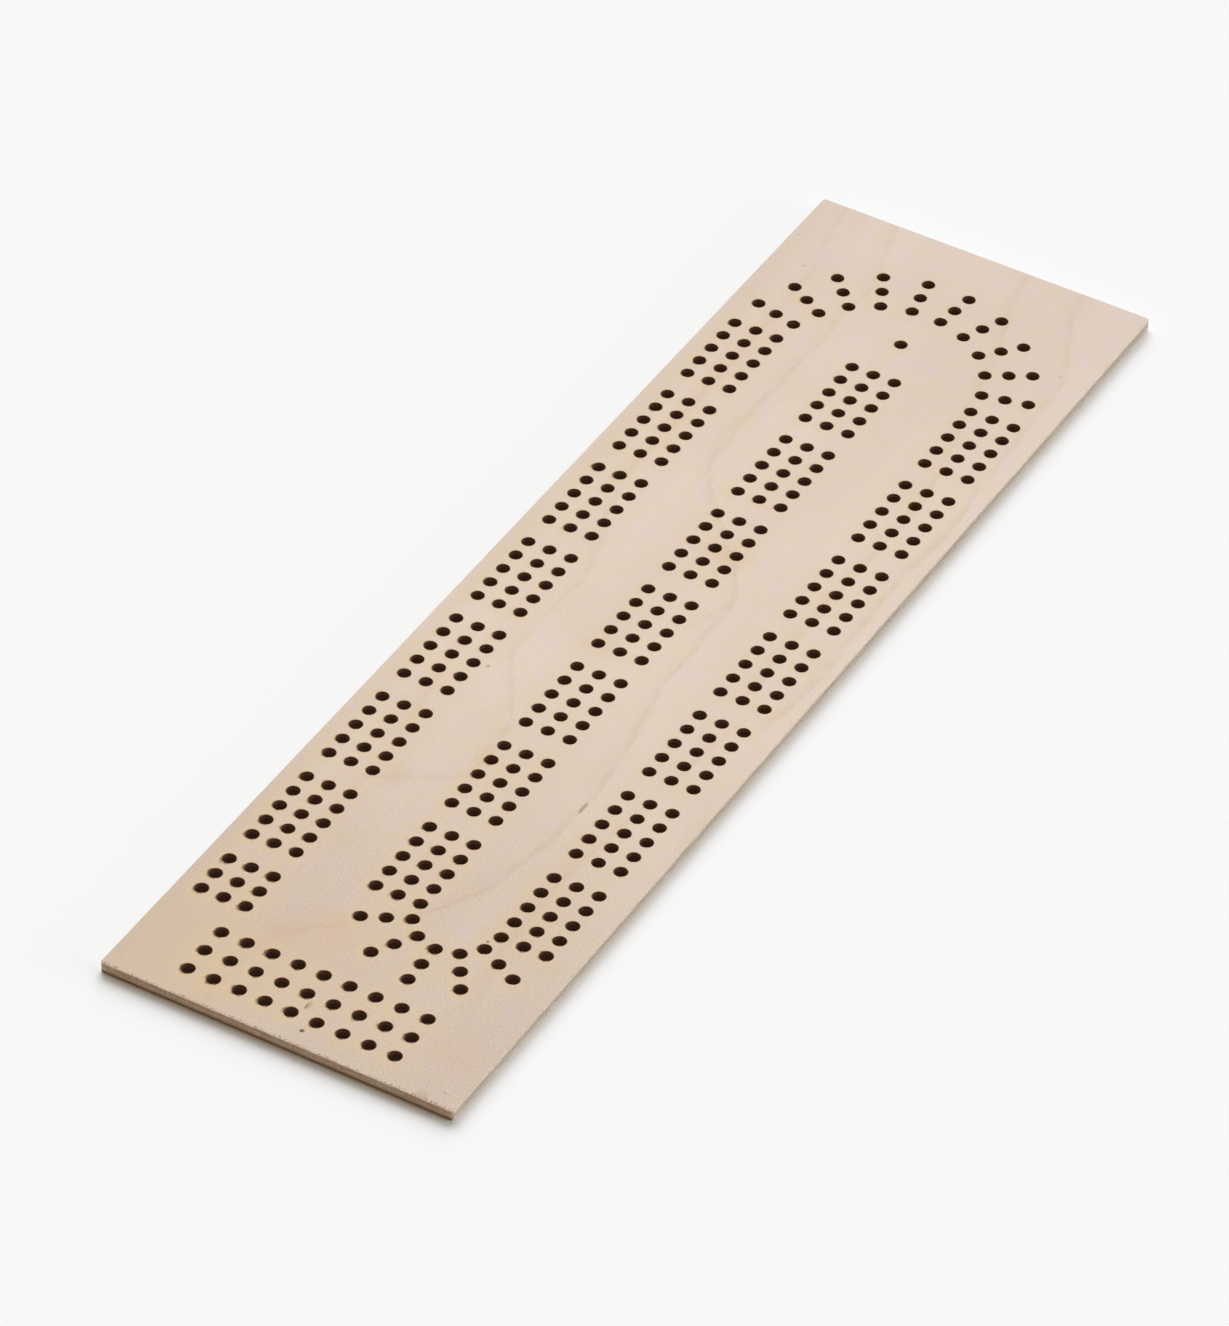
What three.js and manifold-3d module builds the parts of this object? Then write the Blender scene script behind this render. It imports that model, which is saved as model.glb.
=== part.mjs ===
// Cribbage board: a thin three-ply birch panel, pierced by the peg holes of three parallel scoring
// tracks that run up, round the far end, down, round the near end and up the middle to one finish hole.
// Units are millimetres. X runs across the board, Y along it from the start end to the finish end,
// and Z up from the face the board lies on.
import * as THREE from 'three';
import { mergeVertices } from 'three/addons/utils/BufferGeometryUtils.js';
import Module from 'manifold-3d';

// Panel
const WIDTH = 99.5;
const LENGTH = 361;
const CORNER_RADIUS = 1;
const FACE_PLY = 0.8;
const CORE_PLY = 1.4;

// Peg holes: every hole is cut as a square prism whose flats lie one hole diameter apart
const HOLE_DIAMETER = 3.6;
const HOLE_SIDES = 4;

// Scoring tracks: three holes abreast, in groups of five along three columns
const PITCH = 6.35;
const TRACKS = 3;
const GROUP_HOLES = 5;
const GROUPS = 7;
const GROUP_PITCH = 36;
const COLUMN_SPACING = 35.6;
const START_ROWS = 3;

// Turns: the tracks keep their spacing round a half circle at each end
const TURN_RISE = 0.6;
const FAR_TURN_HOLES = 10;
const FAR_TURN_STEP = 16.9;
const NEAR_TURN_HOLES = 5;
const NEAR_TURN_STEP = 31.6;

// Finish hole and the game counter across the start end
const FINISH_STEP = 15.3;
const COUNTER_COLUMNS = 9;
const COUNTER_ROWS = 3;
const COUNTER_PITCH_X = 7.3;
const COUNTER_PITCH_Y = 7.6;
const COUNTER_STEP = 11;

// Where the pattern sits on the panel: the middle column stands left of the panel's centre line
const MIDDLE_COLUMN_X = -1.3;
const FIRST_ROW_Y = 58.9 - LENGTH / 2;

const groupGap = GROUP_PITCH - (GROUP_HOLES - 1) * PITCH;
const lastRowY = FIRST_ROW_Y + (GROUPS - 1) * GROUP_PITCH + (GROUP_HOLES - 1) * PITCH;
const lastStartY = FIRST_ROW_Y - groupGap;
const leftColumnX = MIDDLE_COLUMN_X - COLUMN_SPACING;
const rightColumnX = MIDDLE_COLUMN_X + COLUMN_SPACING;
const trackOffsets = Array.from({ length: TRACKS }, (_, t) => (t - (TRACKS - 1) / 2) * PITCH);

function row(x, y) {
  return trackOffsets.map((offset) => [x + offset, y]);
}

function column(x) {
  const holes = [];
  for (let group = 0; group < GROUPS; group += 1) {
    for (let k = 0; k < GROUP_HOLES; k += 1) {
      holes.push(...row(x, FIRST_ROW_Y + group * GROUP_PITCH + k * PITCH));
    }
  }
  return holes;
}

// A fan of holes on three concentric arcs, spread evenly about the direction middleDeg
function turn(x, y, radius, count, stepDeg, middleDeg) {
  const holes = [];
  for (let k = 0; k < count; k += 1) {
    const angle = THREE.MathUtils.degToRad(middleDeg + (k - (count - 1) / 2) * stepDeg);
    for (const offset of trackOffsets) {
      const r = radius + offset;
      holes.push([x + r * Math.cos(angle), y + r * Math.sin(angle)]);
    }
  }
  return holes;
}

function startRows() {
  const holes = [];
  for (let k = 0; k < START_ROWS; k += 1) {
    holes.push(...row(leftColumnX, lastStartY - k * PITCH));
  }
  return holes;
}

function gameCounter() {
  const lastY = lastStartY - (START_ROWS - 1) * PITCH - COUNTER_STEP;
  const holes = [];
  for (let i = 0; i < COUNTER_COLUMNS; i += 1) {
    for (let j = 0; j < COUNTER_ROWS; j += 1) {
      const x = MIDDLE_COLUMN_X + (i - (COUNTER_COLUMNS - 1) / 2) * COUNTER_PITCH_X;
      holes.push([x, lastY - j * COUNTER_PITCH_Y]);
    }
  }
  return holes;
}

function allHoles() {
  const farTurn = turn(
    MIDDLE_COLUMN_X,
    lastRowY + TURN_RISE,
    COLUMN_SPACING,
    FAR_TURN_HOLES,
    FAR_TURN_STEP,
    90,
  );
  const nearTurn = turn(
    MIDDLE_COLUMN_X + COLUMN_SPACING / 2,
    FIRST_ROW_Y - TURN_RISE,
    COLUMN_SPACING / 2,
    NEAR_TURN_HOLES,
    NEAR_TURN_STEP,
    -90,
  );
  return [
    ...startRows(),
    ...column(leftColumnX),
    ...farTurn,
    ...column(rightColumnX),
    ...nearTurn,
    ...column(MIDDLE_COLUMN_X),
    [MIDDLE_COLUMN_X, lastRowY + FINISH_STEP],
    ...gameCounter(),
  ];
}

const wasm = await Module();
wasm.setup();

// three.js geometry to a solid: corners closer than this share one vertex
const MERGE_DISTANCE = 0.0001;

function toSolid(geometry) {
  geometry.deleteAttribute('normal');
  geometry.deleteAttribute('uv');
  const merged = mergeVertices(geometry, MERGE_DISTANCE);
  const mesh = new wasm.Mesh({
    numProp: 3,
    vertProperties: merged.getAttribute('position').array,
    triVerts: new Uint32Array(merged.getIndex().array),
  });
  return new wasm.Manifold(mesh);
}

function toGeometry(solid) {
  const mesh = solid.getMesh();
  const geometry = new THREE.BufferGeometry();
  geometry.setAttribute('position', new THREE.BufferAttribute(mesh.vertProperties, 3));
  geometry.setIndex(new THREE.BufferAttribute(mesh.triVerts, 1));
  return geometry;
}

// The panel's outline: a rectangle whose corners are eased to a small radius
function outline() {
  const x = WIDTH / 2 - CORNER_RADIUS;
  const y = LENGTH / 2 - CORNER_RADIUS;
  const quarter = Math.PI / 2;
  const shape = new THREE.Shape();
  shape.absarc(x, y, CORNER_RADIUS, 0, quarter);
  shape.absarc(-x, y, CORNER_RADIUS, quarter, 2 * quarter);
  shape.absarc(-x, -y, CORNER_RADIUS, 2 * quarter, 3 * quarter);
  shape.absarc(x, -y, CORNER_RADIUS, 3 * quarter, 4 * quarter);
  return shape;
}

function pegHole(x, y, bottom, height) {
  const cornerRadius = HOLE_DIAMETER / 2 / Math.cos(Math.PI / HOLE_SIDES);
  const prism = new THREE.CylinderGeometry(cornerRadius, cornerRadius, height * 2, HOLE_SIDES, 1);
  prism.rotateX(Math.PI / 2);
  prism.rotateZ(Math.PI / HOLE_SIDES);
  prism.translate(x, y, bottom + height / 2);
  return toSolid(prism);
}

function ply(name, bottom, height, colour) {
  const sheet = new THREE.ExtrudeGeometry(outline(), {
    depth: height,
    bevelEnabled: false,
    curveSegments: 2,
  });
  sheet.translate(0, 0, bottom);
  const cutters = allHoles().map(([x, y]) => pegHole(x, y, bottom, height));
  const solid = toSolid(sheet).subtract(wasm.Manifold.union(cutters));
  const material = new THREE.MeshStandardMaterial({ color: colour, roughness: 0.7, metalness: 0 });
  const mesh = new THREE.Mesh(toGeometry(solid), material);
  mesh.name = name;
  return mesh;
}

const board = new THREE.Group();
board.name = 'cribbage_board';
board.add(ply('back_veneer', 0, FACE_PLY, '#ddc9b2'));
board.add(ply('core_veneer', FACE_PLY, CORE_PLY, '#b79d80'));
board.add(ply('face_veneer', FACE_PLY + CORE_PLY, FACE_PLY, '#e2cfba'));

export default board;
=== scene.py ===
"""Looks of a bare three-ply birch cribbage board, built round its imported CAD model.

Everything is in metres in the row frame: X across the board, Y from the start end to the finish
end, Z up. Inside the materials, places and sizes are in millimetres.
"""

import math
from typing import NamedTuple

import bpy
import numpy as np
from mathutils import Matrix, Vector
from mathutils.geometry import delaunay_2d_cdt


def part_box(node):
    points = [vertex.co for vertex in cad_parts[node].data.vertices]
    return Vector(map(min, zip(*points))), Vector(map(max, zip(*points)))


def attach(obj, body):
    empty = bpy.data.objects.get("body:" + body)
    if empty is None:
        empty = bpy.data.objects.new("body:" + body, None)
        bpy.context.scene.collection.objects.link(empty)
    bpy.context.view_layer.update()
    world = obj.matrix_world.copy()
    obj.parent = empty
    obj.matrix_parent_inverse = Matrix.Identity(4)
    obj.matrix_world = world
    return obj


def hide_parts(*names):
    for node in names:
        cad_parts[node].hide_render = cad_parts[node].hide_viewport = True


MM = 0.001
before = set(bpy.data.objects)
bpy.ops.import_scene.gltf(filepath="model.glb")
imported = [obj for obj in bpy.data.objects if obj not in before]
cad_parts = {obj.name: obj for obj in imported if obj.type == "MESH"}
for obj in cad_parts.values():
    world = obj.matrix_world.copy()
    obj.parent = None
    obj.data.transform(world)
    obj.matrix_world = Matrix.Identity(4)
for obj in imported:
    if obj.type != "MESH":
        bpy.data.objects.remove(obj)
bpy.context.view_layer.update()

# Panel, from the frame
FACE_LOW, FACE_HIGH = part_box("face_veneer")
CORE_LOW, CORE_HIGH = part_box("core_veneer")
HALF_WIDTH = FACE_HIGH.x
HALF_LENGTH = FACE_HIGH.y
THICKNESS = FACE_HIGH.z

# Panel details that the frame doesn't hold. CHIP_LEVEL is how high the noise along the outline
# rises before it chips the arris, and CHIP_DEPTH how deep it then goes, as a share of the arris.
CORNER_RADIUS = 1.0 * MM
CORNER_STEPS = 6
OUTLINE_STEP = 1.2 * MM
OUTLINE_ROUGHNESS = 0.05 * MM
ARRIS = 0.09 * MM
ARRIS_HEIGHT = ARRIS * 0.8
CHIP_LEVEL = 0.55
CHIP_DEPTH = 2
GLUE_FILM = 0.08 * MM
GLUE_RECESS = 0.03 * MM
SHARP_EDGE = math.radians(30)

# Peg holes: the laser's cut narrows a little on its way down, and its rim is worn back by at least
# a share of RIM_WEAR
HOLE_SEGMENTS = 32
CUT_TAPER = 0.14 * MM
CUT_ROUGHNESS = 0.02 * MM
RIM_WEAR = 0.06 * MM
LEAST_RIM_WEAR = 0.8

# The start end is burnt and worn more than the rest. That begins at a share of the way from the
# middle to the start edge and is complete after a further share, and it makes the mouths wider.
START_ZONE_BEGINS = 0.3
START_ZONE_LENGTH = 0.5
OVERBURN = 0.04 * MM

# Scorching round the holes: its usual strength, what the start end and the left edge add, how much
# it varies from hole to hole, and its limits
SCORCH_USUAL = 0.5
SCORCH_AT_START = 0.5
SCORCH_ON_LEFT = 0.12
SCORCH_VARIES = 0.09
SCORCH_LIMITS = (0.25, 1.3)

# The scorched rings round a hole, from the outermost in, each as (millimetres beyond the hole's
# edge, share of the hole's scorching), how fast it fades beyond them, and how the smoke drifted
HALO_RINGS = ((1.08, 0.29), (0.78, 0.36), (0.48, 0.46), (0.22, 0.70))
HALO_REACH = 2.0 * MM
SMOKE_DRIFT = 0.50
SMOKE_TOWARD = math.radians(225)

# The points between the holes, which carry the scorching that fades away from them
FILL_STEP = 3.2 * MM
FILL_CLEARANCE = 0.8 * MM

# The material that a mesh's face takes, by its place in the piece's list
VENEER, SAWN, BURNT = 0, 1, 2
FILM_RESIN, FILM_BURNT = 0, 1

SEED = 11


# ---------------------------------------------------------------- peg holes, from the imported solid

# A wall's normal points up or down by no more than this. Its corners are matched in millimetres,
# to this many decimals.
UPRIGHT = 0.5
KEY_DECIMALS = 2


def wall_loops(mesh):
    """The upright walls seen from above, in millimetres: a loop for the outline and each hole."""
    parent = {}

    def find(key):
        while parent[key] != key:
            parent[key] = parent[parent[key]]
            key = parent[key]
        return key

    for face in mesh.polygons:
        if abs(face.normal.z) > UPRIGHT:
            continue
        corners = [mesh.vertices[index].co for index in face.vertices]
        keys = [(round(x / MM, KEY_DECIMALS), round(y / MM, KEY_DECIMALS)) for x, y, _ in corners]
        for key in keys:
            parent.setdefault(key, key)
        for key in keys[1:]:
            parent[find(key)] = find(keys[0])
    loops = {}
    for key in parent:
        loops.setdefault(find(key), []).append(key)
    return list(loops.values())


def peg_holes(node):
    """Centres of the square holes in a CAD ply, and half the distance across their flats."""
    loops = wall_loops(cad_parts[node].data)
    outline = max(loops, key=len)
    squares = [np.array(loop) * MM for loop in loops if loop is not outline]
    lows = np.array([square.min(axis=0) for square in squares])
    highs = np.array([square.max(axis=0) for square in squares])
    centres = (lows + highs) / 2
    order = np.lexsort((centres[:, 0], centres[:, 1]))
    return centres[order], float(np.median(highs - lows) / 2)


HOLES, HOLE_RADIUS = peg_holes("face_veneer")

# How far each hole is into the start end, from 0 to 1
TOWARD_START = np.clip((-HOLES[:, 1] / HALF_LENGTH - START_ZONE_BEGINS) / START_ZONE_LENGTH, 0, 1)


# ---------------------------------------------------------------- points and triangles

# The triangulation covers the points' whole hull, and joins points nearer than this in millimetres
CONVEX_HULL = 0
SAME_POINT = 1e-5


def outline_points():
    """The panel's outline and its inward normals: evenly spaced points, with eased corners."""
    x, y = HALF_WIDTH - CORNER_RADIUS, HALF_LENGTH - CORNER_RADIUS
    corners = np.array(((x, y), (-x, y), (-x, -y), (x, -y)))
    points, inward = [], []
    for quarter, corner in enumerate(corners):
        for k in range(CORNER_STEPS + 1):
            angle = (quarter + k / CORNER_STEPS) * math.pi / 2
            out = np.array((math.cos(angle), math.sin(angle)))
            points.append(corner + out * CORNER_RADIUS)
            inward.append(-out)
        following = (quarter + 1) % 4
        turned = following * math.pi / 2
        out = np.array((round(math.cos(turned)), round(math.sin(turned))))
        start = points[-1]
        end = corners[following] + out * CORNER_RADIUS
        count = int(np.linalg.norm(end - start) / OUTLINE_STEP)
        for k in range(1, count):
            points.append(start + (end - start) * k / count)
            inward.append(-out)
    return np.array(points), np.array(inward)


OUTLINE, INWARD = outline_points()
EDGE_COUNT = len(OUTLINE)
RING_COUNT = len(HOLES) * HOLE_SEGMENTS
SPOKE_ANGLES = np.arange(HOLE_SEGMENTS) * 2 * math.pi / HOLE_SEGMENTS
SPOKES = np.stack((np.cos(SPOKE_ANGLES), np.sin(SPOKE_ANGLES)), axis=1)


def hole_ring(radius):
    """Points round every hole at a radius: a number, or one number for each hole and spoke."""
    reach = np.broadcast_to(radius, (len(HOLES), HOLE_SEGMENTS))
    return HOLES[:, None, :] + SPOKES[None, :, :] * reach[:, :, None]


def fill_points(clearance):
    """A hexagonal grid of points over the face, clear of the holes' centres and of the outline."""
    row_step = FILL_STEP * math.sqrt(3) / 2
    rows = int(HALF_LENGTH / row_step)
    columns = int(HALF_WIDTH / FILL_STEP)
    points = []
    for row in range(-rows, rows + 1):
        for column in range(-columns, columns + 1):
            x, y = (column + 0.5 * (row % 2)) * FILL_STEP, row * row_step
            inside = abs(x) < HALF_WIDTH - FILL_STEP / 2
            inside = inside and abs(y) < HALF_LENGTH - FILL_STEP / 2
            if inside and np.hypot(*(HOLES - (x, y)).T).min() > clearance:
                points.append((x, y))
    return np.array(points)


def fills_a_hole(corners):
    """Whether a triangle's corners are all on one hole's ring, so that it lies inside the hole."""
    rings = {(corner - EDGE_COUNT) // HOLE_SEGMENTS for corner in corners}
    return len(rings) == 1 and 0 <= rings.pop() < len(HOLES)


def triangulate(hole_radius, extra=()):
    """Triangles between the outline and rings round the holes, through the extra points.

    Their indices run over the outline's points, then the rings', then the extra ones.
    """
    points, edges = [], []
    for loop in (OUTLINE, *hole_ring(hole_radius)):
        first, count = len(points), len(loop)
        points.extend(Vector(point) for point in (loop / MM).tolist())
        edges.extend((first + k, first + (k + 1) % count) for k in range(count))
    points.extend(Vector((x / MM, y / MM)) for x, y in extra)
    result = delaunay_2d_cdt(points, edges, [], CONVEX_HULL, SAME_POINT, True)
    _, _, faces, sources, _, _ = result
    triangles = [[sources[vertex][0] for vertex in face] for face in faces]
    return [corners for corners in triangles if not fills_a_hole(corners)]


OUTER_HALO = HOLE_RADIUS + HALO_RINGS[0][0] * MM
FINE_POINTS = fill_points(OUTER_HALO + FILL_CLEARANCE)
PLAIN_FILL = triangulate(HOLE_RADIUS)
FINE_FILL = triangulate(OUTER_HALO, FINE_POINTS)


# ---------------------------------------------------------------- plies and glue films


def add_object(name, data):
    """A new object in the scene, holding a mesh, a light or a camera."""
    thing = bpy.data.objects.new(name, data)
    bpy.context.collection.objects.link(thing)
    return thing


class Sheet:
    """One ply or film being built: levels of points, joined by bands and filled at both ends."""

    def __init__(self):
        self.points, self.faces, self.kinds, self.scorch = [], [], [], []
        self.count = 0

    def add(self, xy, z, scorch):
        """Adds a level of points and returns the number of its first one."""
        flat = np.asarray(xy).reshape(-1, 2)
        first = self.count
        self.points.append(np.column_stack((flat, np.full(len(flat), z))))
        burnt = np.asarray(scorch, float).reshape(-1)
        self.scorch.append(np.broadcast_to(burnt, len(flat)))
        self.count += len(flat)
        return first

    def band(self, upper, lower, loops, size, kind):
        """Joins two levels of closed loops, the upper one lying above or inside the lower one."""
        for loop in range(loops):
            above, below = upper + loop * size, lower + loop * size
            for k in range(size):
                n = (k + 1) % size
                self.faces.append((above + k, below + k, below + n, above + n))
                self.kinds.append(kind)

    def fill(self, triangles, runs, up, kind):
        """Adds a flat face. Each run gives its first index in the triangles, its first point, and
        how many points it has."""
        table = {}
        for index, first, count in runs:
            table.update((index + k, first + k) for k in range(count))
        for corners in triangles:
            a, b, c = (table[corner] for corner in corners)
            self.faces.append((a, b, c) if up else (c, b, a))
            self.kinds.append(kind)

    def piece(self, name):
        """The finished object, with its scorch attribute and its sharp edges."""
        mesh = bpy.data.meshes.new(name)
        mesh.from_pydata(np.concatenate(self.points).tolist(), [], self.faces)
        mesh.polygons.foreach_set("material_index", self.kinds)
        mesh.polygons.foreach_set("use_smooth", [True] * len(self.faces))
        attribute = mesh.attributes.new("scorch", "FLOAT", "POINT")
        attribute.data.foreach_set("value", np.concatenate(self.scorch).astype(np.float32))
        mesh.validate()
        mesh.set_sharp_from_angle(angle=SHARP_EDGE)
        mesh.update()
        return add_object(name, mesh)


def smooth_noise(rng):
    """Random values round the outline, between -1 and 1, with the shortest waves smoothed away."""
    values = rng.standard_normal(EDGE_COUNT)
    values = (np.roll(values, 1) + values * 2 + np.roll(values, -1)) / 4
    return values / np.abs(values).max()


def edge_level(rng, inset):
    """The outline at one height, roughened inwards by the saw."""
    rough = (smooth_noise(rng) + 1) / 2 * OUTLINE_ROUGHNESS
    return OUTLINE + INWARD * (rough + inset)[:, None]


def cut_wobble():
    """The cut's unevenness for every hole and spoke, the same through all the plies."""
    rng = np.random.default_rng(SEED)
    wobble = rng.standard_normal((len(HOLES), HOLE_SEGMENTS)) * CUT_ROUGHNESS
    return (wobble + np.roll(wobble, 1, 1) + np.roll(wobble, -1, 1)) / 3


# By hole and spoke: the cut's unevenness, how far the worn rim reaches beyond the cut, and the
# factor that the smoke's drift puts on the scorching
WOBBLE = cut_wobble()
RIM_REACH = (RIM_WEAR * (LEAST_RIM_WEAR + TOWARD_START))[:, None]
DRIFT = 1 + SMOKE_DRIFT * np.cos(SPOKE_ANGLES - SMOKE_TOWARD)[None, :]


def cut_radius(z, more):
    """The holes' radius at a height, for every hole, with more added to it."""
    mouth = HOLE_RADIUS - RIM_WEAR / 2 + OVERBURN * TOWARD_START[:, None]
    return mouth - CUT_TAPER * (1 - z / THICKNESS) + more


def scorch_strength(rng):
    """How strongly each hole's surroundings are scorched."""
    strength = SCORCH_USUAL + SCORCH_AT_START * TOWARD_START
    strength = strength + SCORCH_ON_LEFT * (-HOLES[:, 0] / HALF_WIDTH)
    strength = strength + SCORCH_VARIES * rng.standard_normal(len(HOLES))
    return np.clip(strength, *SCORCH_LIMITS)[:, None]


def halo(sheet, z, strength, mouth, up):
    """Scorched wood round every hole on an outer face: rings of it, and the points between holes.

    mouth is the level that the rings close on. Returns the outermost ring's level and the points'.
    """
    rim = cut_radius(z, WOBBLE) + RIM_REACH
    levels = []
    for width, burn in HALO_RINGS:
        radius = np.maximum(HOLE_RADIUS + width * MM, rim)
        levels.append(sheet.add(hole_ring(radius), z, strength * DRIFT * burn))
    for outer, inner in zip(levels, [*levels[1:], mouth]):
        upper, lower = (inner, outer) if up else (outer, inner)
        sheet.band(upper, lower, len(HOLES), HOLE_SEGMENTS, VENEER)
    distances = np.array([np.hypot(*(HOLES - point).T) for point in FINE_POINTS])
    gaps = distances.min(axis=1) - OUTER_HALO
    fading = HALO_RINGS[0][1] * np.exp(-gaps / HALO_REACH)
    grid = sheet.add(FINE_POINTS, z, fading * strength[distances.argmin(axis=1), 0])
    return levels[0], grid


def runs_of(edge, ring):
    """The triangulation's outline and rings, as the levels of points that stand for them."""
    return [(0, edge, EDGE_COUNT), (EDGE_COUNT, ring, RING_COUNT)]


def ply_heights(low, high, face_up):
    """A ply's levels from the top down, each as (height, 1 where its arris and rims are worn)."""
    if face_up is None:
        return [(high, 0.0), (low, 0.0)]
    if face_up:
        return [(high, 1.0), (high - ARRIS_HEIGHT, 0.0), (low, 0.0)]
    return [(high, 0.0), (low + ARRIS_HEIGHT, 0.0), (low, 1.0)]


def ply(name, low, high, face_up, seed):
    """One ply. face_up is True where its upper side is a face, False where its lower one is, and
    None for a ply between two others."""
    rng = np.random.default_rng(SEED + seed)
    strength = scorch_strength(rng)
    chips = np.maximum(smooth_noise(rng) - CHIP_LEVEL, 0) * ARRIS * CHIP_DEPTH
    heights = ply_heights(low, high, face_up)
    sheet = Sheet()
    edges = [sheet.add(edge_level(rng, worn * (ARRIS + chips)), z, 0.0) for z, worn in heights]
    for upper, lower in zip(edges, edges[1:]):
        sheet.band(upper, lower, 1, EDGE_COUNT, SAWN)
    radii = [cut_radius(z, WOBBLE) + worn * RIM_REACH for z, worn in heights]
    rings = [sheet.add(hole_ring(radius), z, 1.0) for radius, (z, _) in zip(radii, heights)]
    for upper, lower in zip(rings, rings[1:]):
        sheet.band(lower, upper, len(HOLES), HOLE_SEGMENTS, BURNT)
    for end, up in ((0, True), (-1, False)):
        if face_up is up:
            ring, grid = halo(sheet, heights[end][0], strength, rings[end], up)
            runs = [*runs_of(edges[end], ring), (EDGE_COUNT + RING_COUNT, grid, len(FINE_POINTS))]
            sheet.fill(FINE_FILL, runs, up, VENEER)
        else:
            sheet.fill(PLAIN_FILL, runs_of(edges[end], rings[end]), up, VENEER)
    return sheet.piece(name)


def glue_film(name, middle, seed):
    """A film of cured resin between two plies, a hair short of their edges."""
    rng = np.random.default_rng(SEED + seed)
    sheet = Sheet()
    edges, rings = [], []
    for z in (middle + GLUE_FILM / 2, middle - GLUE_FILM / 2):
        edges.append(sheet.add(edge_level(rng, GLUE_RECESS), z, 0.0))
        rings.append(sheet.add(hole_ring(cut_radius(z, GLUE_RECESS)), z, 1.0))
    sheet.band(*edges, 1, EDGE_COUNT, FILM_RESIN)
    sheet.band(*reversed(rings), len(HOLES), HOLE_SEGMENTS, FILM_BURNT)
    for edge, ring, up in zip(edges, rings, (True, False)):
        sheet.fill(PLAIN_FILL, runs_of(edge, ring), up, FILM_RESIN)
    return sheet.piece(name)


# ---------------------------------------------------------------- material helpers

BARE_WOOD_SPECULAR = 0.24


class Grain(NamedTuple):
    """Noise: the size of its features in millimetres, how much finer noise is laid over them and
    how strongly, and which part of the noise is used."""

    across: float
    along: float
    through: float = 1.0
    detail: float = 3.0
    rough: float = 0.5
    shift: float = 0.0


class Ramp(NamedTuple):
    """A change from to_low to to_high while a value goes from low to high, and level beyond."""

    low: float
    high: float
    to_low: float = 0.0
    to_high: float = 1.0
    smooth: bool = True


class Net:
    """A new material's node tree, with short calls for its nodes. They take sockets or numbers."""

    def __init__(self, name):
        self.material = bpy.data.materials.new(name)
        self.material.use_nodes = True
        self.nodes = self.material.node_tree.nodes
        self.links = self.material.node_tree.links
        self.shader = self.nodes["Principled BSDF"]
        scaled = self.node("ShaderNodeVectorMath", operation="SCALE")
        scaled.inputs["Scale"].default_value = 1 / MM
        self.put(scaled.inputs[0], self.node("ShaderNodeTexCoord").outputs["Object"])
        self.x, self.y, self.z = self.split(scaled.outputs[0])

    def node(self, kind, **settings):
        """A new node with these settings."""
        node = self.nodes.new(kind)
        for key, value in settings.items():
            setattr(node, key, value)
        return node

    def put(self, socket, value):
        """Links a socket to the value, or sets it where the value is a number or a colour."""
        if isinstance(value, bpy.types.NodeSocket):
            self.links.new(value, socket)
        elif isinstance(value, tuple):
            socket.default_value = (*value, 1.0)[: len(socket.default_value)]
        else:
            socket.default_value = value

    def math(self, operation, *values, clamp=False):
        """One step of arithmetic."""
        node = self.node("ShaderNodeMath", operation=operation, use_clamp=clamp)
        for socket, value in zip(node.inputs, values):
            self.put(socket, value)
        return node.outputs[0]

    def split(self, vector):
        """A vector's x, y and z."""
        node = self.node("ShaderNodeSeparateXYZ")
        self.put(node.inputs[0], vector)
        return node.outputs

    def noise(self, grain, shift):
        """A grain's noise. shift moves on to another part of it, so that two pieces differ."""
        where = self.node("ShaderNodeCombineXYZ")
        self.put(where.inputs[0], self.math("DIVIDE", self.x, grain.across))
        self.put(where.inputs[1], self.math("DIVIDE", self.y, grain.along))
        depth = self.math("MULTIPLY_ADD", self.z, 1 / grain.through, grain.shift + shift)
        self.put(where.inputs[2], depth)
        node = self.node("ShaderNodeTexNoise", noise_dimensions="3D")
        self.put(node.inputs["Vector"], where.outputs[0])
        self.put(node.inputs["Scale"], 1.0)
        self.put(node.inputs["Detail"], grain.detail)
        self.put(node.inputs["Roughness"], grain.rough)
        return node.outputs[0]

    def band(self, value, ramp):
        """The value carried along a ramp."""
        shape = "SMOOTHSTEP" if ramp.smooth else "LINEAR"
        node = self.node("ShaderNodeMapRange", interpolation_type=shape)
        numbers = (value, ramp.low, ramp.high, ramp.to_low, ramp.to_high)
        for socket, number in zip(node.inputs, numbers):
            self.put(socket, number)
        return node.outputs[0]

    def mix(self, share, first, second, blend="MIX"):
        """The first colour with a share of the second."""
        node = self.node("ShaderNodeMix", data_type="RGBA", blend_type=blend)
        self.put(node.inputs[0], share)
        self.put(node.inputs[6], first)
        self.put(node.inputs[7], second)
        return node.outputs[2]

    def tinted(self, share, colour, tint):
        """The colour with a share of it multiplied by the tint."""
        return self.mix(share, colour, self.mix(1.0, colour, tint, "MULTIPLY"))

    def finish(self, colour, roughness, height, depth, specular=BARE_WOOD_SPECULAR):
        """Sets the shader: a colour, a roughness, and a bump whose full height is depth metres."""
        self.put(self.shader.inputs["Base Color"], colour)
        self.put(self.shader.inputs["Roughness"], roughness)
        self.shader.inputs["Specular IOR Level"].default_value = specular
        bump = self.node("ShaderNodeBump")
        bump.inputs["Strength"].default_value = 1.0
        bump.inputs["Distance"].default_value = depth
        self.put(bump.inputs["Height"], height)
        self.put(self.shader.inputs["Normal"], bump.outputs[0])
        return self.material


# ---------------------------------------------------------------- birch faces: ground and grain

BIRCH_PALE = (0.703, 0.596, 0.510)
BIRCH_PINK = (0.689, 0.571, 0.487)
BIRCH_WARM = (0.636, 0.526, 0.402)
YELLOW_TINT = (1.0, 0.995, 0.835)
PINK_TINT = (1.005, 0.970, 1.10)
# The tint on the next line is painted shade: it darkens the face toward the start end, away from the
# lights
START_END_SHADE_TINT = (0.920, 0.910, 0.905)
FAR_TINT = (0.965, 0.965, 0.975)
MARGIN_TINT = (0.955, 0.942, 0.920)
PORE_TINT = (0.86, 0.82, 0.76)
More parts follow.
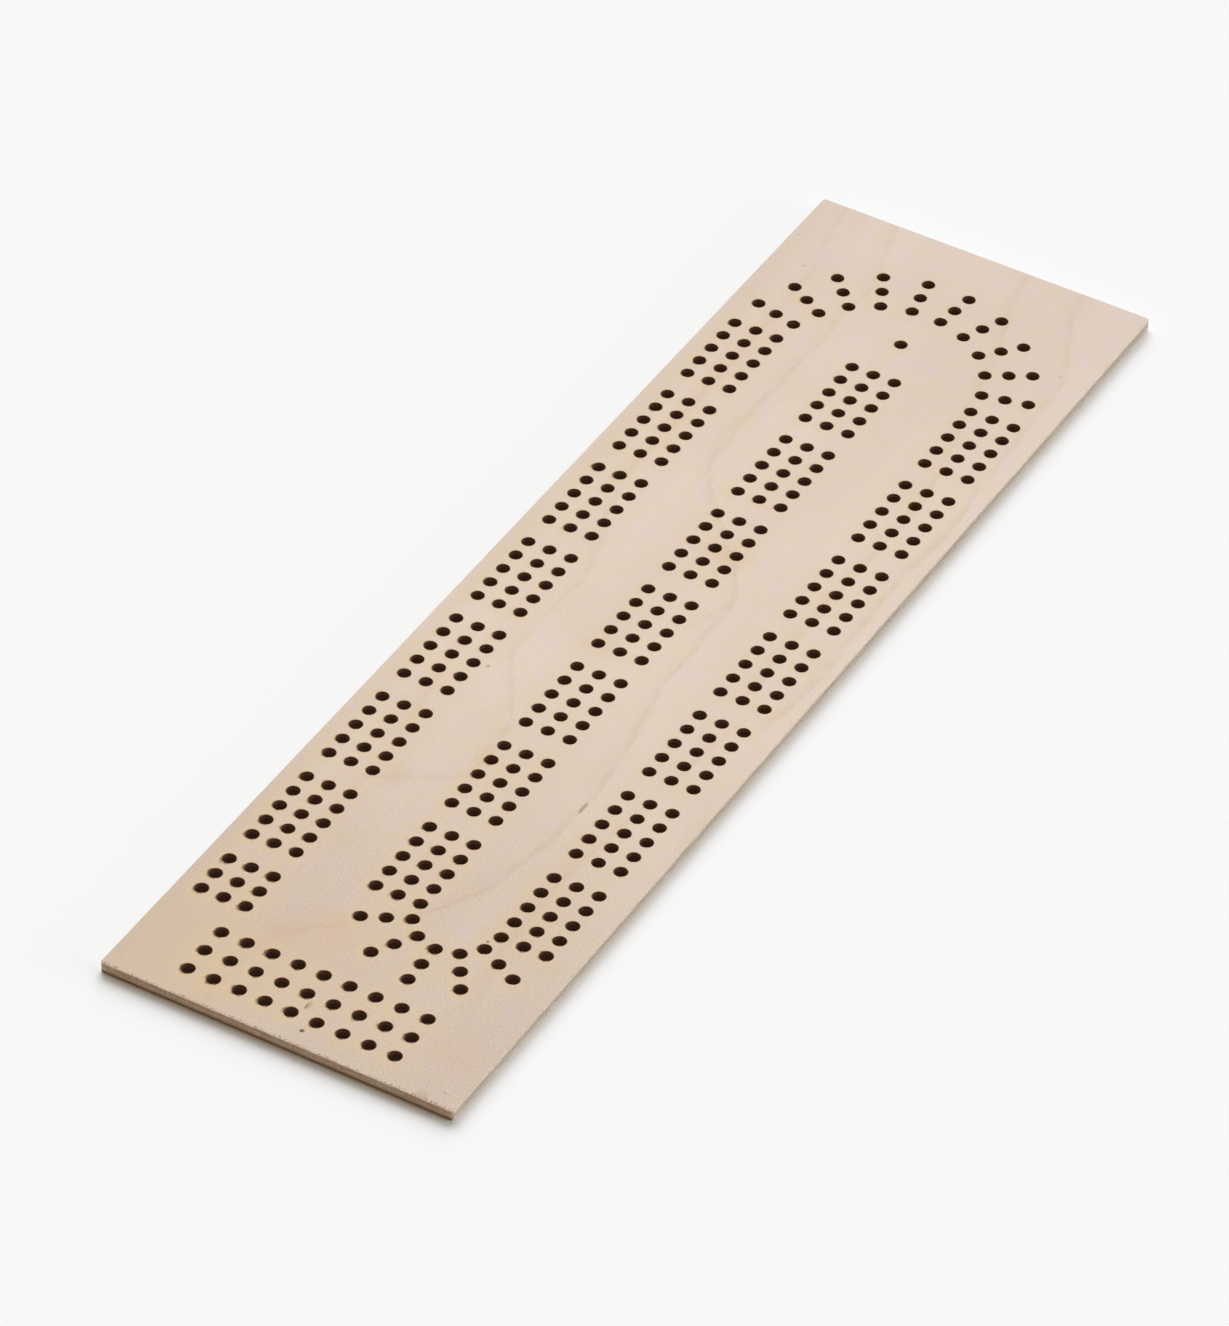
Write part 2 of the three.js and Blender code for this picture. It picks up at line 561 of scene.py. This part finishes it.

# Where the wood's tone changes: toward the far end and at the left margin; and toward the start end,
# where painted shade darkens it and its grain and grit go deeper
START_SHADE_AND_GRIT_ZONE = Ramp(-20.0, -178.0)
FAR_ZONE = Ramp(60.0, 170.0)
MARGIN_ZONE = Ramp(-40.0, -48.0)

# Broad changes of tone, warm clouds, and a fine mottle from yellow to pink
BROAD = Grain(17, 90, detail=2, shift=11)
BROAD_RAMP = Ramp(0.35, 0.65)
CLOUD = Grain(28, 40, shift=19)
CLOUD_RAMP = Ramp(0.42, 0.72)
CLOUD_SHARE = 0.28
MOTTLE = Grain(6, 9, detail=6, rough=0.78, shift=5)
MOTTLE_RAMP = Ramp(0.3, 0.7, smooth=False)

# Long streaks and short flecks make the grain, with grit and pores over it. The grain and the grit
# have a depth everywhere, and more toward the start end.
STREAKS = Grain(0.5, 17, detail=4, rough=0.62)
FLECKS = Grain(0.35, 0.7, detail=2, rough=0.8, shift=2)
STREAK_SHARE = 0.35
GRAIN_RAMP = Ramp(0.5, 0.84, smooth=False)
GRAIN_DEPTH, GRAIN_HANDLED = 0.6, 0.65
GRIT = Grain(0.5, 0.55, detail=2, rough=0.8, shift=37)
GRIT_RAMP = Ramp(0.58, 0.4, smooth=False)
GRIT_DEPTH, GRIT_HANDLED = 0.15, 0.55
PORES = Grain(0.16, 1.9, detail=2, rough=0.6, shift=31)
PORE_RAMP = Ramp(0.62, 0.74)
PORE_DEPTH = 0.55


def birch_ground(net, start_shade_and_grit, shift):
    """The veneer's colour before its grain, with its changes over the board and painted shade toward
    the start end.
    """
    colour = net.mix(net.band(net.noise(BROAD, shift), BROAD_RAMP), BIRCH_PALE, BIRCH_PINK)
    cloud = net.math("MULTIPLY", net.band(net.noise(CLOUD, shift), CLOUD_RAMP), CLOUD_SHARE)
    colour = net.mix(cloud, colour, BIRCH_WARM)
    hue = net.mix(net.band(net.noise(MOTTLE, shift), MOTTLE_RAMP), YELLOW_TINT, PINK_TINT)
    colour = net.mix(1.0, colour, hue, "MULTIPLY")
    # Painted shade: the face darkens toward the start end
    colour = net.tinted(start_shade_and_grit, colour, START_END_SHADE_TINT)
    colour = net.tinted(net.band(net.y, FAR_ZONE), colour, FAR_TINT)
    return net.tinted(net.band(net.x, MARGIN_ZONE), colour, MARGIN_TINT)


def sanded_birch(net, shift):
    """The veneer's colour with its grain, and the streaks and pores by themselves."""
    # Toward the start end: painted shade on the face, and deeper grain and grit
    start_shade_and_grit = net.band(net.y, START_SHADE_AND_GRIT_ZONE)
    colour = birch_ground(net, start_shade_and_grit, shift)
    streaks = net.noise(STREAKS, shift)
    flecks = net.math("MULTIPLY_ADD", streaks, STREAK_SHARE, net.noise(FLECKS, shift))
    depth = net.math("MULTIPLY_ADD", start_shade_and_grit, GRAIN_HANDLED, GRAIN_DEPTH)
    dark = net.mix(depth, colour, PORE_TINT, "MULTIPLY")
    colour = net.mix(net.band(flecks, GRAIN_RAMP), dark, colour)
    depth = net.math("MULTIPLY_ADD", start_shade_and_grit, GRIT_HANDLED, GRIT_DEPTH)
    grit = net.math("MULTIPLY", net.band(net.noise(GRIT, shift), GRIT_RAMP), depth)
    colour = net.tinted(grit, colour, PORE_TINT)
    pores = net.band(net.noise(PORES, shift), PORE_RAMP)
    colour = net.tinted(net.math("MULTIPLY", pores, PORE_DEPTH), colour, PORE_TINT)
    return colour, streaks, pores


# ---------------------------------------------------------------- birch faces: growth lines

FIGURE_TINT = (0.915, 0.855, 0.760)

# Growth lines, each in millimetres: where it starts across the board, how strong it is, the stretch
# along the board where it shows, and its bends as (middle along the board, length of the bend,
# shift across)
FACE_LINES = (
    (
        -27.5, 0.75, 200, -200,
        ((165, 40, 7), (42, 60, 35), (-45, 60, 6), (-100, 40, -6), (-134, 50, -36)),
    ),
    (-42.0, 0.6, 200, -100, ((160, 40, 6), (30, 44, 12), (-40, 34, 14.5), (-84, 22, -27))),
    (31.0, 0.75, 200, -30, ((158, 44, 11.5), (110, 70, 3.5), (-15, 40, -3))),
    (13.0, 0.75, 200, -20, ((162, 44, 10), (110, 60, 11))),
    (13.0, 0.9, 22, -2, ((9, 16, -4.5),)),
    (-36.0, 0.4, -20, -110, ((-60, 60, 5),)),
    (38.0, 0.5, 0, -160, ((-60, 90, -8), (-140, 40, 6))),
)
BACK_LINES = (
    (-34.0, 0.9, 200, -200, ((120, 80, 14), (10, 90, -12), (-120, 70, 22))),
    (-6.0, 1.0, 200, -200, ((90, 100, -18), (-40, 80, 30), (-140, 50, -12))),
    (20.0, 0.8, 90, -200, ((20, 60, -16), (-60, 70, 20))),
    (38.0, 0.9, 200, -200, ((60, 120, -12), (-90, 80, 9))),
)

# A line is a thin stroke, and a shade that grows toward it on one side and stops soon after it
LINE_WIDTH = 0.95
LINE_SHARE = 0.58
LINE_FADE = 18.0
SHADE_SHARE = 0.42
SHADE_BEFORE = Ramp(-6.0, 0.0)
SHADE_AFTER = Ramp(1.5, 0.0)

# How the lines wander across the board, and how they break up and fade along it
SLOW_WANDER, SLOW_REACH = Grain(40, 55, detail=2, shift=23), 3.0
QUICK_WANDER, QUICK_REACH = Grain(5, 11, detail=2, shift=26), 1.5
BREAKS = Grain(3, 9, shift=30)
BREAKS_RAMP = Ramp(0.3, 0.65, 0.3, 1.1)
FIGURE_FADE = Ramp(60.0, 140.0, 1.0, 0.75)


def growth_line(net, line, wander):
    """How strongly one growth line shows at a place on the board."""
    start, strength, begins, ends, bends = line
    course = net.math("ADD", wander, start)
    for middle, length, shift in bends:
        bend = Ramp(middle + length / 2, middle - length / 2, 0.0, shift)
        course = net.math("ADD", course, net.band(net.y, bend))
    gap = net.math("SUBTRACT", net.x, course)
    squared = net.math("POWER", net.math("DIVIDE", gap, LINE_WIDTH), 2.0)
    thin = net.math("EXPONENT", net.math("MULTIPLY", squared, -1.0))
    shade = net.math("MULTIPLY", net.band(gap, SHADE_BEFORE), net.band(gap, SHADE_AFTER))
    both = net.math("MULTIPLY_ADD", shade, SHADE_SHARE, net.math("MULTIPLY", thin, LINE_SHARE))
    begun = net.band(net.y, Ramp(begins, begins - LINE_FADE))
    unended = net.band(net.y, Ramp(ends, ends + LINE_FADE))
    shown = net.math("MULTIPLY", begun, unended)
    return net.math("MULTIPLY", net.math("MULTIPLY", both, shown), strength)


def figure(net, lines, shift):
    """The rotary-cut veneer's growth lines together, broken up a little along their length."""
    slow = net.math("MULTIPLY_ADD", net.noise(SLOW_WANDER, shift), 2 * SLOW_REACH, -SLOW_REACH)
    quick = net.math("MULTIPLY_ADD", net.noise(QUICK_WANDER, shift), 2 * QUICK_REACH, -QUICK_REACH)
    wander = net.math("ADD", slow, quick)
    total = 0.0
    for line in lines:
        total = net.math("ADD", growth_line(net, line, wander), total)
    broken = net.band(net.noise(BREAKS, shift), BREAKS_RAMP)
    faint = net.math("MULTIPLY", broken, net.band(net.y, FIGURE_FADE))
    return net.math("MULTIPLY", total, faint, clamp=True)


# ---------------------------------------------------------------- birch faces: marks and nicks

# Natural marks on the wood, in millimetres: centre, width across and length along, strength, colour
FACE_MARKS = (
    (20.9, -70.2, 0.9, 4.8, 0.75, (0.33, 0.22, 0.13)),
    (1.1, -166.7, 1.5, 3.2, 0.65, (0.37, 0.22, 0.12)),
    (0.8, -167.3, 0.7, 2.2, 0.95, (0.16, 0.08, 0.04)),
    (4.4, -175.3, 1.2, 1.2, 1.00, (0.010, 0.008, 0.006)),
    (26.0, -124.7, 0.8, 0.9, 0.90, (0.05, 0.03, 0.02)),
    (-44.2, -146.8, 0.8, 1.0, 0.70, (0.12, 0.07, 0.04)),
    (-47.6, 162.7, 0.8, 0.9, 0.40, (0.35, 0.30, 0.24)),
    (-39.8, 151.4, 1.3, 1.0, 0.50, (0.35, 0.30, 0.24)),
    (-26.8, -36.1, 0.9, 1.4, 0.60, (0.33, 0.24, 0.16)),
    (41.2, 145.5, 0.9, 1.4, 0.30, (0.40, 0.26, 0.15)),
    (44.7, -175.8, 0.9, 1.1, 0.35, (0.33, 0.24, 0.16)),
    (39.0, -163.0, 18, 12, 0.15, (0.58, 0.40, 0.30)),
    (-24.3, -174.5, 5, 3.5, 0.35, (0.62, 0.40, 0.20)),
    (-32.0, -167.0, 46, 38, 0.62, (0.565, 0.425, 0.280)),
    (-7.0, -143.0, 16, 15, 0.38, (0.60, 0.400, 0.240)),
    (-18.0, -150.0, 6, 12, 0.25, (0.60, 0.360, 0.280)),
    (2.4, 34.0, 11, 8, 0.35, (0.62, 0.430, 0.240)),
    (-25.0, -84.5, 6, 9, 0.35, (0.55, 0.400, 0.270)),
    (-35.5, 90.0, 6, 60, 0.25, (0.60, 0.420, 0.250)),
    (-8.0, -12.0, 8, 12, 0.25, (0.56, 0.420, 0.280)),
)
BACK_MARKS = (
    (18.3, 96.0, 1.4, 3.4, 0.55, (0.30, 0.17, 0.08)),
    (-17.6, -12.5, 0.7, 4.8, 0.45, (0.33, 0.22, 0.13)),
    (14.9, -58.0, 0.9, 1.3, 0.45, (0.33, 0.24, 0.16)),
)

# A mark's edge is soft over a share of its size, more on a mark broader than BROAD_MARK
BROAD_MARK = 4.0
BROAD_SOFTNESS = 0.9
SMALL_SOFTNESS = 0.2
RAGGED, RAGGED_REACH = Grain(0.5, 0.9, detail=2), 0.2

# Nicks in a narrow strip along the start edge, where the cut tore the fibres
NICK_BROWN = (0.330, 0.225, 0.150)
START_EDGE = -HALF_LENGTH / MM
TORN = Grain(0.4, 1.1, detail=2, shift=8)
TORN_RAMP = Ramp(0.66, 0.74)
NICK_STRIP = Ramp(START_EDGE + 1.3, START_EDGE + 0.3, 0.0, 0.16)
NICK_LIMIT = Ramp(0.0, 0.04)


def mark(net, x, y, across, along):
    """A soft-edged oval mark: 1 inside and 0 outside. Its place also picks its ragged edge."""
    soft = BROAD_SOFTNESS if across > BROAD_MARK else SMALL_SOFTNESS
    u = net.math("DIVIDE", net.math("SUBTRACT", net.x, x), across / 2)
    v = net.math("DIVIDE", net.math("SUBTRACT", net.y, y), along / 2)
    ragged = net.math("MULTIPLY_ADD", net.noise(RAGGED, x), 2 * RAGGED_REACH, -RAGGED_REACH)
    squares = net.math("ADD", net.math("MULTIPLY", u, u), net.math("MULTIPLY", v, v))
    reach = net.math("ADD", net.math("SQRT", squares), ragged)
    return net.band(reach, Ramp(1 + soft, 1 - soft))


def marked(net, colour, marks):
    """The wood with its natural marks."""
    for x, y, across, along, strength, shade in marks:
        share = net.math("MULTIPLY", mark(net, x, y, across, along), strength)
        colour = net.mix(share, colour, shade)
    return colour


def nicked(net, colour, shift):
    """The wood with nicks along the start edge."""
    near = net.band(net.y, NICK_STRIP)
    torn = net.math("ADD", net.noise(TORN, shift), near)
    nicks = net.math("MULTIPLY", net.band(torn, TORN_RAMP), net.band(near, NICK_LIMIT))
    return net.mix(nicks, colour, NICK_BROWN)


# ---------------------------------------------------------------- birch faces: scorching

SCORCH_TAN = (0.655, 0.490, 0.285)
SCORCH_BROWN = (0.320, 0.190, 0.080)
CHAR_BROWN = (0.230, 0.130, 0.080)
# The near black on the next line is soot, and deep in the hole walls it is painted shade as well
CHAR_AND_DEEP_SHADE = (0.145, 0.080, 0.056)

# The mesh's scorching is made patchy, then turns the wood tan, brown and at last to char
PATCHY = Grain(1.7, 2.0, detail=4, rough=0.65, shift=41)
PATCHY_RAMP = Ramp(0.25, 0.75, 0.3, 1.7, smooth=False)
TAN_RAMP = Ramp(0.0, 0.75, 0.0, 0.85, smooth=False)
BROWN_RAMP = Ramp(0.5, 1.1)
CHAR_RAMP = Ramp(0.95, 1.2)

# The face's roughness and relief. Streaks and scorching dull it; streaks and lumps raise it, and
# pores sink into it.
SCORCH_DULLS = 0.3
FACE_ROUGHNESS = Ramp(0.2, 1.0, 0.58, 0.78)
LUMPS = Grain(0.9, 1.3, detail=2, rough=0.6, shift=13)
LUMP_HEIGHT = 0.5
PORE_HEIGHT = -0.8
FACE_RELIEF = 0.02 * MM


def scorched(net, colour, shift):
    """The wood browned by the mesh's scorching, and how burnt it is."""
    scorch = net.node("ShaderNodeAttribute", attribute_name="scorch").outputs["Fac"]
    burn = net.math("MULTIPLY", scorch, net.band(net.noise(PATCHY, shift), PATCHY_RAMP))
    colour = net.mix(net.band(burn, TAN_RAMP), colour, SCORCH_TAN)
    colour = net.mix(net.band(burn, BROWN_RAMP), colour, SCORCH_BROWN)
    return net.mix(net.band(burn, CHAR_RAMP), colour, CHAR_BROWN), burn


def veneer_face(name, lines, marks, shift):
    """Sanded birch veneer with its grain along the board, scorched round the holes."""
    net = Net(name)
    colour, streaks, pores = sanded_birch(net, shift)
    colour = net.tinted(figure(net, lines, shift), colour, FIGURE_TINT)
    colour = nicked(net, marked(net, colour, marks), shift)
    colour, burn = scorched(net, colour, shift)
    dull = net.math("MULTIPLY_ADD", burn, SCORCH_DULLS, streaks)
    relief = net.math("MULTIPLY_ADD", pores, PORE_HEIGHT, streaks)
    relief = net.math("MULTIPLY_ADD", net.noise(LUMPS, shift), LUMP_HEIGHT, relief)
    return net.finish(colour, net.band(dull, FACE_ROUGHNESS), relief, FACE_RELIEF)


# ---------------------------------------------------------------- sawn edges

# The colours for the board's long sides are painted lighter than the bare wood: painted light,
# standing for strong light from the side. The change between side grain and end grain is the wood's
# own.
OUTER_SIDE_PAINTED_LIGHTER = (0.850, 0.750, 0.655)
OUTER_END = (0.630, 0.475, 0.350)
CORE_SIDE = (0.670, 0.530, 0.410)
CORE_END_PAINTED_LIGHTER = (0.650, 0.560, 0.485)
BACK_SIDE_PAINTED_LIGHTER = (0.880, 0.800, 0.700)
BACK_END = (0.345, 0.245, 0.165)
EDGE_SCORCH = (0.330, 0.170, 0.080)
SAWDUST = (1.42, 1.42, 1.38)
FIBRE_SHADE = (0.55, 0.50, 0.43)

# How squarely the edge faces along the board before it counts as an end
END_RAMP = Ramp(0.55, 0.85)

# Thin layers and fibres shade the edge, pale dust is caught on it, and smoke browned the ends
LAYERS = Grain(4, 5, through=0.12, rough=0.6)
FIBRES = Grain(0.3, 0.3, through=0.9, rough=0.7, shift=5)
FIBRE_RAMP = Ramp(0.7, 1.3, smooth=False)
DUST = Grain(0.7, 0.7, through=0.3, rough=0.75, shift=9)
DUST_RAMP = Ramp(0.48, 0.64)
SMOKE = Grain(13, 19, through=3, rough=0.6, shift=15)
SMOKE_RAMP = Ramp(0.5, 0.72)
SMOKE_SHARE = 0.35
EDGE_ROUGHNESS = Ramp(0.2, 0.8, 0.7, 0.88)
EDGE_RELIEF = 0.05 * MM
EDGE_SPECULAR = 0.2


def cut_edge(name, long_side_painted_lighter, short_side, shift):
    """A ply's sawn edge, in one colour on the board's long sides and one on its short ones. The long
    sides' colour carries painted light.
    """
    net = Net(name)
    _, facing, _ = net.split(net.node("ShaderNodeNewGeometry").outputs["True Normal"])
    end = net.band(net.math("ABSOLUTE", facing), END_RAMP)
    # The long sides' colour is painted lighter than the wood: painted light
    colour = net.mix(end, long_side_painted_lighter, short_side)
    fibres = net.noise(FIBRES, shift)
    relief = net.math("ADD", net.noise(LAYERS, shift), fibres)
    shaded = net.mix(1.0, colour, FIBRE_SHADE, "MULTIPLY")
    colour = net.mix(net.band(relief, FIBRE_RAMP), shaded, colour)
    colour = net.tinted(net.band(net.noise(DUST, shift), DUST_RAMP), colour, SAWDUST)
    smoke = net.band(net.noise(SMOKE, shift), SMOKE_RAMP)
    burnt = net.math("MULTIPLY", smoke, net.math("MULTIPLY", end, SMOKE_SHARE))
    colour = net.mix(burnt, colour, EDGE_SCORCH)
    return net.finish(colour, net.band(fibres, EDGE_ROUGHNESS), relief, EDGE_RELIEF, EDGE_SPECULAR)


# ---------------------------------------------------------------- hole walls and glue

# The wall is soot, with browner fibres showing through toward the mouth. Lower down it is near black
# everywhere, which is painted shade as well as soot.
SOOT = Grain(0.4, 0.4, through=0.5, detail=4, rough=0.65)
SOOT_RAMP = Ramp(0.3, 0.6, 0.5, 1.0)
WALL_FIBRES = Grain(0.2, 0.2, through=1.2, detail=2, shift=4)
WALL_FIBRE_RAMP = Ramp(0.3, 0.65, 0.3, 1.0)
SHADED_BELOW_MOUTH = Ramp(1.3, 3.0)
WALL_ROUGHNESS = Ramp(0.3, 0.7, 0.55, 0.8)
WALL_RELIEF = 0.03 * MM
WALL_SPECULAR = 0.1

RESIN = (0.090, 0.050, 0.026)
RESIN_PATCHES = Grain(1.4, 1.4, through=0.3)
RESIN_RAMP = Ramp(0.35, 0.7)
RESIN_ROUGHNESS = Ramp(0.3, 0.7, 0.4, 0.6)
RESIN_RELIEF = 0.02 * MM


def charred_wall(name, shift):
    """The burnt wall of a laser-cut hole: near black, browner where the fibres show through toward
    the mouth, and near black lower down, where painted shade darkens it.
    """
    net = Net(name)
    soot = net.noise(SOOT, shift)
    fibres = net.noise(WALL_FIBRES, shift)
    # Below the mouth the wall is held near black: painted shade deep in the hole
    clean_and_unshaded = net.math("MULTIPLY", net.band(net.z, SHADED_BELOW_MOUTH), net.band(fibres, WALL_FIBRE_RAMP))
    colour = net.mix(net.math("MULTIPLY", clean_and_unshaded, net.band(soot, SOOT_RAMP)), CHAR_AND_DEEP_SHADE, CHAR_BROWN)
    relief = net.math("ADD", soot, fibres)
    return net.finish(colour, net.band(soot, WALL_ROUGHNESS), relief, WALL_RELIEF, WALL_SPECULAR)


def resin_edge(name, shift):
    """The thin dark line of cured glue between two plies."""
    net = Net(name)
    patches = net.noise(RESIN_PATCHES, shift)
    colour = net.mix(net.band(patches, RESIN_RAMP), RESIN, BACK_END)
    return net.finish(colour, net.band(patches, RESIN_ROUGHNESS), patches, RESIN_RELIEF)


# ---------------------------------------------------------------- the board's pieces


def dress(piece, slot, *materials):
    """Gives a piece its materials and fixes it to the board. slot is not used."""
    for material in materials:
        piece.data.materials.append(material)
    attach(piece, "root")


def build_board():
    """Every piece of the board with its materials, each ply standing for its CAD ply.

    The core's grain runs across the board, so its end grain is on the long sides.
    """
    film = GLUE_FILM / 2
    char = charred_wall("charred_hole_wall", 0.0)
    resin = resin_edge("resin_glue", 2.0)
    face = ply("face_ply", FACE_LOW.z + film, FACE_HIGH.z, True, 1)
    core = ply("core_ply", CORE_LOW.z + film, CORE_HIGH.z - film, None, 2)
    back = ply("back_ply", 0.0, CORE_LOW.z - film, False, 3)
    upper_film = glue_film("upper_glue_line", FACE_LOW.z, 4)
    lower_film = glue_film("lower_glue_line", CORE_LOW.z, 5)
    face_wood = veneer_face("birch_face", FACE_LINES, FACE_MARKS, 0.0)
    back_wood = veneer_face("birch_back", BACK_LINES, BACK_MARKS, 50.0)
    face_edge = cut_edge("face_edge", OUTER_SIDE_PAINTED_LIGHTER, OUTER_END, 0.0)
    core_edge = cut_edge("core_edge", CORE_END_PAINTED_LIGHTER, CORE_SIDE, 60.0)
    back_edge = cut_edge("back_edge", BACK_SIDE_PAINTED_LIGHTER, BACK_END, 90.0)
    dress(face, "face_veneer", face_wood, face_edge, char)
    dress(core, "core_veneer", core_edge, core_edge, char)
    dress(back, "back_veneer", back_wood, back_edge, char)
    dress(upper_film, "core_veneer", resin, char)
    dress(lower_film, "core_veneer", resin, char)
    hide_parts("face_veneer")
    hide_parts("core_veneer")
    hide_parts("back_veneer")


# ---------------------------------------------------------------- floor and light

FLOOR_SIZE = 12.0
FLOOR_DROP = 0.05 * MM
FLOOR_ALBEDO = 0.86
FLOOR_BRIGHTNESS = 0.939
SKY_SHARE = 0.045
SKY_WARMTH = 0.32


class Softbox(NamedTuple):
    """A wide distant light: azimuth from +Y towards +X, elevation and width in degrees, its share
    of the light on the floor, and how warm it is."""

    azimuth: float
    elevation: float
    width: float
    share: float
    warmth: float


LIGHTS = {
    "back_softbox": Softbox(-20, 35, 50, 0.49, -0.06),
    "left_softbox": Softbox(-60, 37, 50, 0.21, -0.03),
    "right_back_fill": Softbox(60, 35, 50, 0.09, 0.0),
    "right_softbox": Softbox(90, 65, 50, 0.08, 0.12),
    "front_fill": Softbox(180, 35, 50, 0.04, 0.32),
    "right_reflector": Softbox(75, 8, 14, 0.030, -0.05),
}


def warm_white(warmth):
    """White light, warmer or colder by this much."""
    return (1 + warmth, 1.0, 1 - warmth)


def build_floor():
    """A plain pale floor, just under the board."""
    mesh = bpy.data.meshes.new("floor")
    half = FLOOR_SIZE / 2
    sides = ((-half, -half), (half, -half), (half, half), (-half, half))
    mesh.from_pydata([(x, y, -FLOOR_DROP) for x, y in sides], [], [(0, 1, 2, 3)])
    floor = add_object("floor", mesh)
    material = bpy.data.materials.new("floor_paint")
    material.use_nodes = True
    shader = material.node_tree.nodes["Principled BSDF"]
    shader.inputs["Base Color"].default_value = (FLOOR_ALBEDO, FLOOR_ALBEDO, FLOOR_ALBEDO, 1)
    shader.inputs["Roughness"].default_value = 1.0
    shader.inputs["Specular IOR Level"].default_value = 0.0
    mesh.materials.append(material)


def soft_sun(name, box, irradiance):
    """A softbox that gives the floor this irradiance."""
    azimuth, elevation = math.radians(box.azimuth), math.radians(box.elevation)
    data = bpy.data.lights.new(name, "SUN")
    data.energy = irradiance / math.sin(elevation)
    data.color = warm_white(box.warmth)
    data.angle = math.radians(box.width)
    lamp = add_object(name, data)
    x, y = math.sin(azimuth) * math.cos(elevation), math.cos(azimuth) * math.cos(elevation)
    lamp.rotation_mode = "QUATERNION"
    lamp.rotation_quaternion = Vector((x, y, math.sin(elevation))).to_track_quat("Z", "Y")


def build_sky(irradiance):
    """A dim sky that gives the floor this irradiance, and that shows as bright as the floor."""
    world = bpy.data.worlds.new("studio")
    world.use_nodes = True
    nodes, links = world.node_tree.nodes, world.node_tree.links
    sky = nodes["Background"]
    sky.inputs["Color"].default_value = (*warm_white(SKY_WARMTH), 1)
    sky.inputs["Strength"].default_value = irradiance / math.pi
    backdrop = nodes.new("ShaderNodeBackground")
    backdrop.inputs["Color"].default_value = (1, 1, 1, 1)
    backdrop.inputs["Strength"].default_value = FLOOR_BRIGHTNESS
    seen = nodes.new("ShaderNodeLightPath").outputs["Is Camera Ray"]
    choice = nodes.new("ShaderNodeMixShader")
    links.new(seen, choice.inputs[0])
    links.new(sky.outputs[0], choice.inputs[1])
    links.new(backdrop.outputs[0], choice.inputs[2])
    links.new(choice.outputs[0], nodes["World Output"].inputs["Surface"])
    bpy.context.scene.world = world


def build_light():
    """Soft lights round the board and a dim sky, which share out the light on the floor."""
    irradiance = FLOOR_BRIGHTNESS * math.pi / FLOOR_ALBEDO
    shares = SKY_SHARE + sum(box.share for box in LIGHTS.values())
    for name, box in LIGHTS.items():
        soft_sun(name, box, irradiance * box.share / shares)
    build_sky(irradiance * SKY_SHARE / shares)


# ---------------------------------------------------------------- camera

# Azimuth is from -Y towards +X. The angles are in degrees.
CAMERA_AZIMUTH = 28.677
CAMERA_ELEVATION = 40.352
CAMERA_ROLL = -2.223
CAMERA_DISTANCE = 2.02519
FOCAL_MM = 217.77
SENSOR_MM = 36.0
CLIP_NEAR = 0.05
CLIP_FAR = 40.0
AIM = Vector((-0.25 * MM, -18.2 * MM, THICKNESS + 0.12 * MM))


def build_camera():
    """A long lens from the start end and the right, looking down on the board."""
    data = bpy.data.cameras.new("camera")
    data.lens = FOCAL_MM
    data.sensor_width = SENSOR_MM
    data.sensor_fit = "AUTO"
    data.clip_start, data.clip_end = CLIP_NEAR, CLIP_FAR
    camera = add_object("camera", data)
    azimuth, elevation = math.radians(CAMERA_AZIMUTH), math.radians(CAMERA_ELEVATION)
    x, y = math.sin(azimuth) * math.cos(elevation), -math.cos(azimuth) * math.cos(elevation)
    back = Vector((x, y, math.sin(elevation)))
    level = (-back).to_track_quat("-Z", "Y").to_matrix().to_4x4()
    roll = Matrix.Rotation(-math.radians(CAMERA_ROLL), 4, "Z")
    camera.matrix_world = Matrix.Translation(AIM + back * CAMERA_DISTANCE) @ level @ roll
    bpy.context.scene.camera = camera


build_camera()
build_board()
build_floor()
build_light()
bpy.context.scene.view_settings.view_transform = "Standard"
